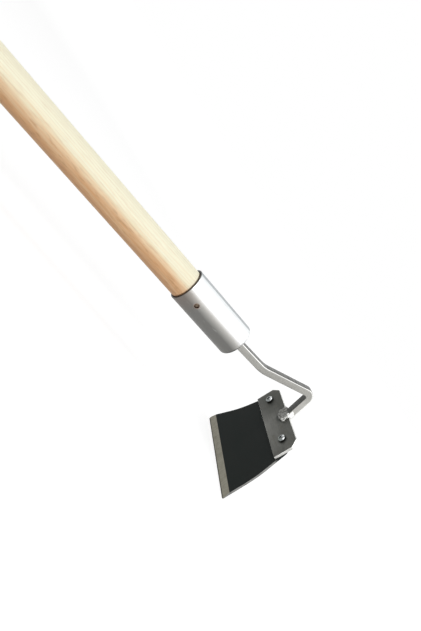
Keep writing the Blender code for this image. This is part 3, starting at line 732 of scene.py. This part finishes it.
def turned(profile, segments, closed=False):
    """A solid turned about X from a profile of (x, radius) points."""
    return ring_stack([circle(x, radius, segments) for x, radius in profile], closed)


def arc(centre, radius, start, end, steps):
    """Points on an arc in a plane, with its angles in degrees."""
    points = []
    for i in range(steps + 1):
        angle = math.radians(start + (end - start) * i / steps)
        points.append((centre[0] + radius * math.cos(angle), centre[1] + radius * math.sin(angle)))
    return points


def prism(outline, low, high):
    """A solid with an (x, y) outline between two heights."""
    return ring_stack([[(x, y, z) for x, y in outline] for z in (low, high)])


def same(point):
    """The flow of a piece that needs no other coordinates than its own."""
    return point


def paint(obj, place, flow_of, edge_of):
    """Writes flow for each point and edge for each face, both worked out in the frame place."""
    back = place.inverted()
    turn = back.to_3x3()
    mesh = obj.data
    flow = mesh.attributes.new("flow", "FLOAT_VECTOR", "POINT")
    for vert, item in zip(mesh.vertices, flow.data):
        item.vector = flow_of(back @ vert.co)
    edge = mesh.attributes.new("edge", "FLOAT", "FACE")
    for polygon, item in zip(mesh.polygons, edge.data):
        item.value = edge_of(back @ polygon.center, turn @ polygon.normal)


def clean(mesh):
    """Joins points closer than a micrometre and takes out the slivers that cutting leaves."""
    bm = bmesh.new()
    bm.from_mesh(mesh)
    bmesh.ops.triangulate(bm, faces=bm.faces)
    bmesh.ops.remove_doubles(bm, verts=bm.verts, dist=1e-6)
    bmesh.ops.dissolve_degenerate(bm, dist=1e-6, edges=bm.edges)
    bm.to_mesh(mesh)
    bm.free()


def finish(obj, material, slot, *nodes, angle=30):
    """Cleans and shades a piece, attaches it to the root body and hides the CAD nodes it stands for;
    slot is not used.
    """
    clean(obj.data)
    obj.data.materials.clear()
    obj.data.materials.append(material)
    obj.data.shade_smooth()
    obj.data.set_sharp_from_angle(angle=math.radians(angle))
    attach(obj, "root")
    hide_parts(*nodes)


# Ferrule and nail
def make_ferrule(material):
    rim = -FERRULE_LENGTH
    lip = FERRULE_RIM_ROUNDING
    inner = FERRULE_CORNER - FERRULE_WALL
    profile = [(0.0, TIP_RADIUS)]
    profile += arc((-FERRULE_CORNER, FERRULE_RADIUS - FERRULE_CORNER), FERRULE_CORNER, 0, 90, 12)
    profile += arc((rim + lip, FERRULE_RADIUS - lip), lip, 90, 180, 4)
    profile += arc((rim + lip, BORE_RADIUS + lip), lip, 180, 270, 4)
    profile += arc((-FERRULE_END_WALL - inner, BORE_RADIUS - inner), inner, 90, 0, 6)
    profile.append((-FERRULE_END_WALL, TIP_RADIUS))
    obj = add_object("ferrule_tube", turned(profile, segments=128))
    half = BAR_SIDE / 2 + TOUCH
    square = [(-half, -half), (half, -half), (half, half), (-half, half)]
    opening = ring_stack([[(x, a, b) for a, b in square] for x in (-0.02, 0.02)])
    opening.transform(Matrix.Rotation(-NECK_ANGLE_1, 4, "Y"))
    hole_radius = NAIL_HOLE_DIAMETER / 2
    hole = turned([(BORE_RADIUS / 2, hole_radius), (2 * FERRULE_RADIUS, hole_radius)], segments=40)
    carve(obj, add_object("neck_opening", opening), add_object("nail_opening", hole, NAIL))
    finish(obj, material, "satin_steel", "ferrule")


def make_nail(material):
    seat = HANDLE_RADIUS + TOUCH
    head = NAIL_HEAD_DIAMETER / 2
    shank = NAIL_SHANK_DIAMETER / 2
    tip = seat - NAIL_LENGTH
    base = seat + NAIL_HEAD_RIM
    profile = [(tip, TIP_RADIUS), (tip + NAIL_POINT, shank), (seat, shank), (seat, head * 0.96),
               (seat + 0.0001, head)]
    dome = NAIL_HEAD_HEIGHT - NAIL_HEAD_RIM
    for i in range(10):
        angle = math.pi / 2 * i / 10
        profile.append((base + dome * math.sin(angle), head * math.cos(angle)))
    profile.append((seat + NAIL_HEAD_HEIGHT, TIP_RADIUS / 2))
    bm = turned(profile, segments=32)
    for vert in bm.verts:
        if vert.co.x > base:
            vert.co.x += NAIL_HEAD_UNEVEN * noise.noise(vert.co * 900.0)
    finish(add_object("nail_head", bm, NAIL), material, "nail_steel", "ferrule_nail", angle=50)


# Neck
def neck_stations():
    """Centre points, directions and how hard the bar is bent there, all along the neck."""
    start, bend_1, bend_2, _, end = neck_corners()
    stations = [(start, NECK_ANGLE_1, 0.0)]
    for corner, angle_in, angle_out, radius, steps in (
            (bend_1, NECK_ANGLE_1, NECK_ANGLE_2, BEND_RADIUS_1, 10),
            (bend_2, NECK_ANGLE_2, NECK_ANGLE_3, BEND_RADIUS_2, 28)):
        turn = angle_out - angle_in
        side = math.copysign(1.0, turn)
        begin = corner - direction(angle_in) * (radius * math.tan(abs(turn) / 2))
        centre = begin + direction(angle_in + side * math.pi / 2) * radius
        for i in range(steps + 1):
            angle = angle_in + turn * i / steps
            point = centre - direction(angle + side * math.pi / 2) * radius
            bulge = side * math.sin(math.pi * i / steps) * BAR_SIDE / radius
            stations.append((point, angle, bulge))
    stations.append((end, NECK_ANGLE_3, 0.0))
    return stations


def bar_section():
    """A square with rounded edges, as (across, width) points."""
    inner = BAR_SIDE / 2 - BAR_EDGE
    points = []
    for quarter, (a, b) in enumerate(((1, 1), (-1, 1), (-1, -1), (1, -1))):
        points += arc((a * inner, b * inner), BAR_EDGE, 90 * quarter, 90 * quarter + 90, 4)
    return points


def make_neck(material):
    rings = []
    flows = []
    length = 0.0
    before = None
    for point, angle, bulge in neck_stations():
        if before is not None:
            length += (point - before).length
        before = point
        across = direction(angle + math.pi / 2)
        ring = []
        for a, b in bar_section():
            swell = 1.0 + BAR_BULGE * bulge * a / (BAR_SIDE / 2)
            ring.append(point + across * a + Vector((0.0, b * swell, 0.0)))
            flows.append((length, a, b))
        rings.append(ring)
    obj = add_object("neck_rod", ring_stack(rings))
    flow = obj.data.attributes.new("flow", "FLOAT_VECTOR", "POINT")
    for item, value in zip(flow.data, flows):
        item.vector = value
    finish(obj, material, "bar_steel", "neck_bar")


# Bracket plate
def screw_bores():
    """Cutters for the two screw holes, through plate and blade."""
    bores = []
    for side in (1.0, -1.0):
        bore = turned([(2 * BLADE_BACK, SCREW_HOLE_RADIUS), (0.003, SCREW_HOLE_RADIUS)], segments=40)
        bores.append(add_object("bore", bore, screw_frame(side)))
    return bores


def make_plate(material):
    half = PLATE_WIDTH / 2
    cut = PLATE_CHAMFER
    outline = [(0.0, half - cut), (0.0, cut - half), (cut, -half), (PLATE_DEPTH, -half),
               (PLATE_DEPTH, half), (cut, half)]
    obj = add_object("plate_sheet", prism(outline, -PLATE_THICKNESS, 0.0), PLATE)
    depth = NOTCH_DEPTH + math.sin(PLATE_TILT) * BAR_SIDE / 2 + TOUCH
    wide = BAR_SIDE / 2 + TOUCH
    notch = prism([(-depth, -wide), (depth, -wide), (depth, wide), (-depth, wide)], -0.006, 0.003)
    carve(obj, add_object("notch", notch, PLATE), *screw_bores())
    soften(obj, PLATE_ROUNDING, segments=3)

    def edge(centre, normal):
        """1 on the straight sheared sides, 0.5 on the cut corners and 0 on the faces."""
        if abs(normal.z) > 0.93:
            return 0.0
        return 1.0 if max(abs(normal.x), abs(normal.y)) > 0.88 else 0.5

    paint(obj, PLATE, same, edge)
    finish(obj, material, "plate_steel", "bracket_plate")


# Blade
def blade_half_width(s):
    half = PLATE_WIDTH / 2 + BLADE_PAST_PLATE + s * math.tan(BLADE_FLARE)
    half -= max(BLADE_TANG_CHAMFER - BLADE_TANG_DEPTH - s, 0.0)
    past = s - (BLADE_FREE_LENGTH - BLADE_CORNER)
    if past > 0.0:
        half -= BLADE_CORNER - math.sqrt(max(BLADE_CORNER ** 2 - past ** 2, 0.0))
    return half


def blade_point(s, depth):
    """A point (x, z) of the plate frame, s along the sheet and at a depth below its face."""
    bend = BLADE_BEND_RADIUS * BLADE_BEND_ANGLE
    angle = min(max(s - BLADE_BEND_START, 0.0), bend) / BLADE_BEND_RADIUS
    before = min(s, BLADE_BEND_START)
    after = max(s - BLADE_BEND_START - bend, 0.0)
    radius = BLADE_BEND_RADIUS + depth
    x = PLATE_DEPTH + before + radius * math.sin(angle) + after * math.cos(angle)
    z = BLADE_TOP + BLADE_BEND_RADIUS - radius * math.cos(angle) + after * math.sin(angle)
    return x, z


def blade_flow(point):
    """(distance along the sheet, place across it, depth in it) of a point in the plate frame."""
    x = point.x - PLATE_DEPTH - BLADE_BEND_START
    down = BLADE_TOP + BLADE_BEND_RADIUS - point.z
    angle = min(max(math.atan2(x, down), 0.0), BLADE_BEND_ANGLE)
    radial = x * math.sin(angle) + down * math.cos(angle)
    along = x * math.cos(angle) - down * math.sin(angle)
    s = BLADE_BEND_START + BLADE_BEND_RADIUS * angle + along
    return Vector((s, point.y, radial - BLADE_BEND_RADIUS))


def blade_zone(point, normal):
    """1 on the sheared sides, 2 on the ground bevel and 0 elsewhere."""
    if abs(normal.y) > 0.45:
        return 1.0
    flow = blade_flow(point)
    on_bevel = flow.x > BEVEL_START + 0.0001 and flow.z < BLADE_THICKNESS - 0.0004
    if on_bevel and normal.z > 0.0:
        return 2.0
    return 2.0 if flow.x > BLADE_FREE_LENGTH - 0.0003 else 0.0


def make_blade(material):
    bend_end = BLADE_BEND_START + BLADE_BEND_RADIUS * BLADE_BEND_ANGLE
    stations = [-BLADE_TANG_DEPTH, BLADE_TANG_CHAMFER - BLADE_TANG_DEPTH, 0.0, BLADE_BEND_START / 2]
    stations += [BLADE_BEND_START + (bend_end - BLADE_BEND_START) * i / 28 for i in range(29)]
    stations += [BEVEL_START]
    corner_start = BLADE_FREE_LENGTH - BLADE_CORNER
    stations += [corner_start + BLADE_CORNER * math.sin(math.pi / 2 * i / 8) for i in range(9)]
    rings = []
    for s in stations:
        ground = (BLADE_THICKNESS - BLADE_EDGE_LAND) * max(s - BEVEL_START, 0.0) / BLADE_BEVEL
        half = blade_half_width(s)
        top_x, top_z = blade_point(s, ground)
        back_x, back_z = blade_point(s, BLADE_THICKNESS)
        rings.append([(top_x, half, top_z), (top_x, -half, top_z),
                      (back_x, -half, back_z), (back_x, half, back_z)])
    obj = add_object("blade_sheet", ring_stack(rings), PLATE)
    carve(obj, *screw_bores())
    soften(obj, BLADE_ROUNDING, segments=2, angle=60)
    paint(obj, PLATE, blade_flow, blade_zone)
    finish(obj, material, "blade_steel", "blade", angle=12)


# Weld bead round the end of the bar, with its places in the plate's frame
BEAD_FROM_BAR = 0.0016
BEAD_BACK = -0.0012
BEAD_FRONT = 0.0052
BEAD_BOW = 0.0030
BEAD_BOW_PACE = 0.0026
BEAD_DROPS = 17
BEAD_DROP_LENGTH = 0.0016
BEAD_DROP_SIZE = 0.0029
BEAD_DROP_UNEVEN = 0.0006
BEAD_LIFT = 0.0004
BEAD_FILL_WIDTH = 0.0052
BEAD_VOXEL = 0.00024
BEAD_ROUGHNESS = 0.00012
# Each fill is a place along the plate and a size, each side drop a place and a size
BEAD_FILLS = ((0.0035, 0.0034), (0.0070, 0.0032), (0.0001, 0.0028))
SIDE_DROPS = (((-0.0012, 0.0044, -0.0030), 0.0022), ((-0.0030, 0.0044, -0.0018), 0.0026),
              ((-0.0048, 0.0041, -0.0003), 0.0016), ((0.0064, 0.0084, 0.0002), 0.0018))


def bead_path(t):
    """A point of the plate frame on a U round the bar's end, for t from 0 to 1."""
    half = BAR_SIDE / 2 + BEAD_FROM_BAR
    straight = BEAD_FRONT - BEAD_BACK
    bow = math.pi * (half + BEAD_BOW_PACE) / 2
    run = t * (2 * straight + bow)
    if run < straight:
        return Vector((BEAD_BACK + run, half, 0.0))
    if run > straight + bow:
        return Vector((BEAD_FRONT - (run - straight - bow), -half, 0.0))
    angle = math.pi * (run - straight) / bow
    return Vector((BEAD_FRONT + BEAD_BOW * math.sin(angle), half * math.cos(angle), 0.0))


def add_lump(bm, place, size, heading=0.0):
    """Adds a ball, stretched to size along its own axes and turned to a heading."""
    ball = bmesh.ops.create_icosphere(bm, subdivisions=3, radius=1.0)["verts"]
    shape = Matrix.Translation(place) @ Matrix.Rotation(heading, 4, "Z")
    bmesh.ops.transform(bm, matrix=shape @ Matrix.Diagonal((*size, 1.0)), verts=ball)


def make_bracket_weld(material):
    bm = bmesh.new()
    for i in range(BEAD_DROPS):
        t = i / (BEAD_DROPS - 1)
        ahead = bead_path(min(t + 0.02, 1.0)) - bead_path(max(t - 0.02, 0.0))
        lump = noise.noise(Vector((i * 1.7, 0.3, 0.9)))
        size = BEAD_DROP_SIZE + BEAD_DROP_UNEVEN * lump
        place = bead_path(t) + Vector((0.0, 0.0, BEAD_LIFT + BEAD_LIFT * lump))
        add_lump(bm, place, (BEAD_DROP_LENGTH, size, size * 0.95), math.atan2(ahead.y, ahead.x))
    for x, size in BEAD_FILLS:
        add_lump(bm, (x, 0.0, -0.0002), (size, BEAD_FILL_WIDTH, size * 0.85))
    for place, size in SIDE_DROPS:
        add_lump(bm, place, (size, 0.0012 + size * 0.1, size * 1.2))
    obj = add_object("weld_bead", bm, PLATE)
    remesh = obj.modifiers.new("remesh", "REMESH")
    remesh.mode = "VOXEL"
    remesh.voxel_size = BEAD_VOXEL
    smooth = obj.modifiers.new("smooth", "SMOOTH")
    smooth.iterations = 2
    smooth.factor = 0.5
    bake(obj)
    for vert in obj.data.vertices:
        rough = noise.fractal(vert.co * 900.0, 0.9, 2.0, 3)
        vert.co += vert.normal * BEAD_ROUGHNESS * rough
    below = prism([(0.0, -0.02), (0.02, -0.02), (0.02, 0.02), (0.0, 0.02)], -0.02, 0.00002)
    carve(obj, add_object("below", below, PLATE))
    finish(obj, material, "weld_steel", "bracket_weld", angle=60)


# Screws, washers, nuts and nylon rings
def cross(span, slot):
    """The outline of a cross, span long and slot wide."""
    far = span / 2
    near = slot / 2
    quarters = ((1.0, 0.0), (0.0, 1.0), (-1.0, 0.0), (0.0, -1.0))
    arm = ((far, -near), (far, near), (near, near))
    return [(c * x - s * y, s * x + c * y) for c, s in quarters for x, y in arm]


def screw_profile():
    """(x, radius) from the screw's tip to the top of its head; on the thread, radius is a function."""
    tip = NUT_END - SCREW_END_BEYOND_NUT
    thread_start = tip + SCREW_TIP_LENGTH

    def thread(x):
        def radius(angle):
            phase = (x / THREAD_PITCH + angle / (2 * math.pi)) % 1.0
            pointed = THREAD_START_RADIUS + (x - tip) * THREAD_START_SLOPE
            return min(SCREW_RADIUS - THREAD_DEPTH * abs(2 * phase - 1), pointed)
        return radius

    profile = [(tip, SCREW_TIP_RADIUS)]
    for i in range(THREAD_STEPS):
        x = thread_start + THREAD_PITCH * i / THREAD_STEPS_PER_TURN
        profile.append((x, thread(x)))
    thread_end = thread_start + THREAD_PITCH * THREAD_STEPS / THREAD_STEPS_PER_TURN
    profile += [(thread_end, SCREW_RADIUS), (TOUCH, SCREW_RADIUS),
                (TOUCH, SCREW_HEAD_RADIUS - SCREW_HEAD_ROUNDING),
                (TOUCH + SCREW_HEAD_ROUNDING, SCREW_HEAD_RADIUS)]
    dome_width = SCREW_HEAD_RADIUS - SCREW_HEAD_TOP_RADIUS
    for i in range(13):
        angle = math.pi / 2 * i / 12
        x = TOUCH + SCREW_HEAD_RIM + SCREW_DOME * math.sin(angle)
        profile.append((x, SCREW_HEAD_TOP_RADIUS + dome_width * math.cos(angle)))
    profile.append((TOUCH + SCREW_HEAD_HEIGHT, 2 * TIP_RADIUS))
    return profile


def screw_zone(centre, normal):
    """Painted shade: 1 in the recess, 0.75 low on the head's side and 0 elsewhere."""
    off_axis = math.hypot(centre.y, centre.z)
    dome = TOUCH + SCREW_HEAD_HEIGHT - SCREW_DOME * (off_axis / SCREW_HEAD_RADIUS) ** 4
    if TOUCH < centre.x < dome - 0.0003 and off_axis < RECESS_REACH:
        return 1.0
    return 0.75 if 0.0 < centre.x < TOUCH + 0.0008 else 0.0


def make_screw(label, place, spin, material):
    turn = place @ Matrix.Rotation(math.radians(spin), 4, "X")
    obj = add_object("screw_" + label, turned(screw_profile(), segments=48), turn)
    top = TOUCH + SCREW_HEAD_HEIGHT
    rings = [[(top + rise, a, b) for a, b in cross(span, slot)] for rise, span, slot in RECESS_LEVELS]
    carve(obj, add_object("recess", ring_stack(rings), turn))
    paint(obj, place, same, screw_zone)
    finish(obj, material, "zinc_fastener", "blade_screw_" + label, angle=40)


def washer_profile(low, high, inner, outer, round_by):
    """A ring between two heights, with its outer edges cut."""
    return [(low, inner), (low, outer - round_by), (low + round_by, outer), (high - round_by, outer),
            (high, outer - round_by), (high, inner)]


def make_washer(label, place, material):
    top = BLADE_BACK - TOUCH
    low = top - WASHER_THICKNESS
    profile = washer_profile(low, top, SCREW_HOLE_RADIUS, WASHER_RADIUS, WASHER_ROUNDING)
    obj = add_object("washer_ring_" + label, turned(profile, segments=48, closed=True), place)
    finish(obj, material, "zinc_fastener", "washer_" + label)


def make_nut(label, place, material):
    hex_end = NUT_SEAT - NUT_HEX_HEIGHT
    groove_top = NUT_END + NUT_INSERT_HEIGHT + TOUCH
    groove = SCREW_HOLE_RADIUS + NUT_INSERT_WALL + TOUCH
    across = NUT_ACROSS_FLATS / 2
    widest = across / math.cos(math.pi / 6)

    def hexagon(limit):
        def radius(angle):
            part = (angle + math.pi / 6) % (math.pi / 3) - math.pi / 6
            return min(across / math.cos(part), limit)
        return radius

    profile = [(NUT_SEAT, SCREW_HOLE_RADIUS), (NUT_SEAT, across * 0.97)]
    for i in range(5):
        x = NUT_SEAT - 0.0001 - NUT_CHAMFER * i / 4
        profile.append((x, hexagon(across + (widest - across) * i / 4)))
    for i in range(5):
        x = hex_end + 0.0006 - 0.0005 * i / 4
        profile.append((x, hexagon(widest - (widest - across) * i / 4)))
    profile += [(hex_end, NUT_COLLAR_RADIUS + 0.00015), (hex_end - 0.0001, NUT_COLLAR_RADIUS),
                (NUT_END + NUT_COLLAR_ROUNDING, NUT_COLLAR_RADIUS),
                (NUT_END, NUT_COLLAR_RADIUS - NUT_COLLAR_ROUNDING), (NUT_END, groove),
                (groove_top, groove), (groove_top, SCREW_HOLE_RADIUS)]
    obj = add_object("nut_" + label, turned(profile, segments=72, closed=True), place)
    finish(obj, material, "zinc_fastener", "lock_nut_" + label, angle=25)


def make_insert(label, place, material):
    outer = SCREW_HOLE_RADIUS + NUT_INSERT_WALL
    high = NUT_END + NUT_INSERT_HEIGHT
    profile = washer_profile(NUT_END, high, SCREW_HOLE_RADIUS, outer, INSERT_ROUNDING)
    obj = add_object("nylon_ring_" + label, turned(profile, segments=48, closed=True), place)
    finish(obj, material, "nylon", "nut_insert_" + label)


def dress_node(name, material):
    """Gives a CAD node its better material."""
    slots = frame["nodes"][name].material_slots
    if not slots:
        frame["nodes"][name].data.materials.append(material)
    for slot in slots:
        slot.material = material


def make_pieces():
    zinc = zinc_fastener()
    ring = nylon()
    weld = weld_steel()
    dress_node("handle", ash_wood())
    dress_node("ferrule_weld", weld)
    make_ferrule(satin_steel())
    make_nail(nail_steel())
    make_neck(bar_steel())
    make_plate(plate_steel())
    make_blade(blade_steel())
    make_bracket_weld(weld)
    for side, label, spin in ((1.0, "near", 20.0), (-1.0, "far", 65.0)):
        place = screw_frame(side)
        make_screw(label, place, spin, zinc)
        make_washer(label, place, zinc)
        make_nut(label, place, zinc)
        make_insert(label, place, ring)


# Stage: pale floor, white surroundings, soft lamps and the camera
def background_factor(g):
    """1 for camera, glossy and transmission rays and 0 for all others."""
    path = g.node("LightPath")
    shown = g.plus(path.outputs["Is Camera Ray"], path.outputs["Is Glossy Ray"], clamp=True)
    return g.plus(shown, path.outputs["Is Transmission Ray"], clamp=True)


def make_floor():
    """Pale floor that keeps the shadow near the object and turns white away from it."""
    bm = bmesh.new()
    bmesh.ops.create_grid(bm, x_segments=1, y_segments=1, size=FLOOR_HALF_WIDTH)
    floor = add_object("floor", bm, Matrix.Translation((0.0, 0.0, -FLOOR_DROP)))
    g = Surface("pale_floor", Roughness=0.9, Specular_IOR_Level=0.0, Base_Color=(0.55, 0.55, 0.55, 1.0))
    g.shader.inputs["Emission Color"].default_value = (1.0, 1.0, 1.0, 1.0)
    place = g.place()
    from_middle = g.node("VectorMath", {0: place}, operation="LENGTH").outputs["Value"]
    lift = g.remap(from_middle, FLOOR_FADE_START, FLOOR_FADE_END, FLOOR_LIFT, 1.0)
    g.tree.links.new(g.times(background_factor(g), lift), g.shader.inputs["Emission Strength"])
    floor.data.materials.append(g.material)


def make_world():
    world = bpy.data.worlds.new("studio")
    bpy.context.scene.world = world
    world.use_nodes = True
    g = Graph(world.node_tree)
    background = g.tree.nodes["Background"]
    background.inputs["Color"].default_value = (1.0, 1.0, 1.0, 1.0)
    strength = g.remap(background_factor(g), 0.0, 1.0, WORLD_LIGHT, 1.0)
    g.tree.links.new(strength, background.inputs["Strength"])


def add_lamp(name, place, target, size, power):
    lamp = bpy.data.lights.new(name, "AREA")
    lamp.shape = "RECTANGLE"
    lamp.size, lamp.size_y = size
    lamp.energy = power
    obj = new_object(name, lamp)
    obj.location = place
    obj.rotation_euler = (Vector(target) - Vector(place)).to_track_quat("-Z", "Y").to_euler()


def make_camera():
    camera = bpy.data.cameras.new("camera")
    camera.lens = CAMERA_LENS
    camera.clip_start = 0.01
    obj = new_object("camera", camera)
    right = CAMERA_RIGHT.normalized()
    up = CAMERA_RIGHT.cross(CAMERA_FORWARD).normalized()
    obj.matrix_world = TOOL @ axes(right, up, -CAMERA_FORWARD.normalized(), CAMERA_PLACE)
    bpy.context.scene.camera = obj


make_pieces()
make_floor()
make_world()
for lamp in LAMPS:
    add_lamp(*lamp)
make_camera()
bpy.context.scene.view_settings.view_transform = "Standard"
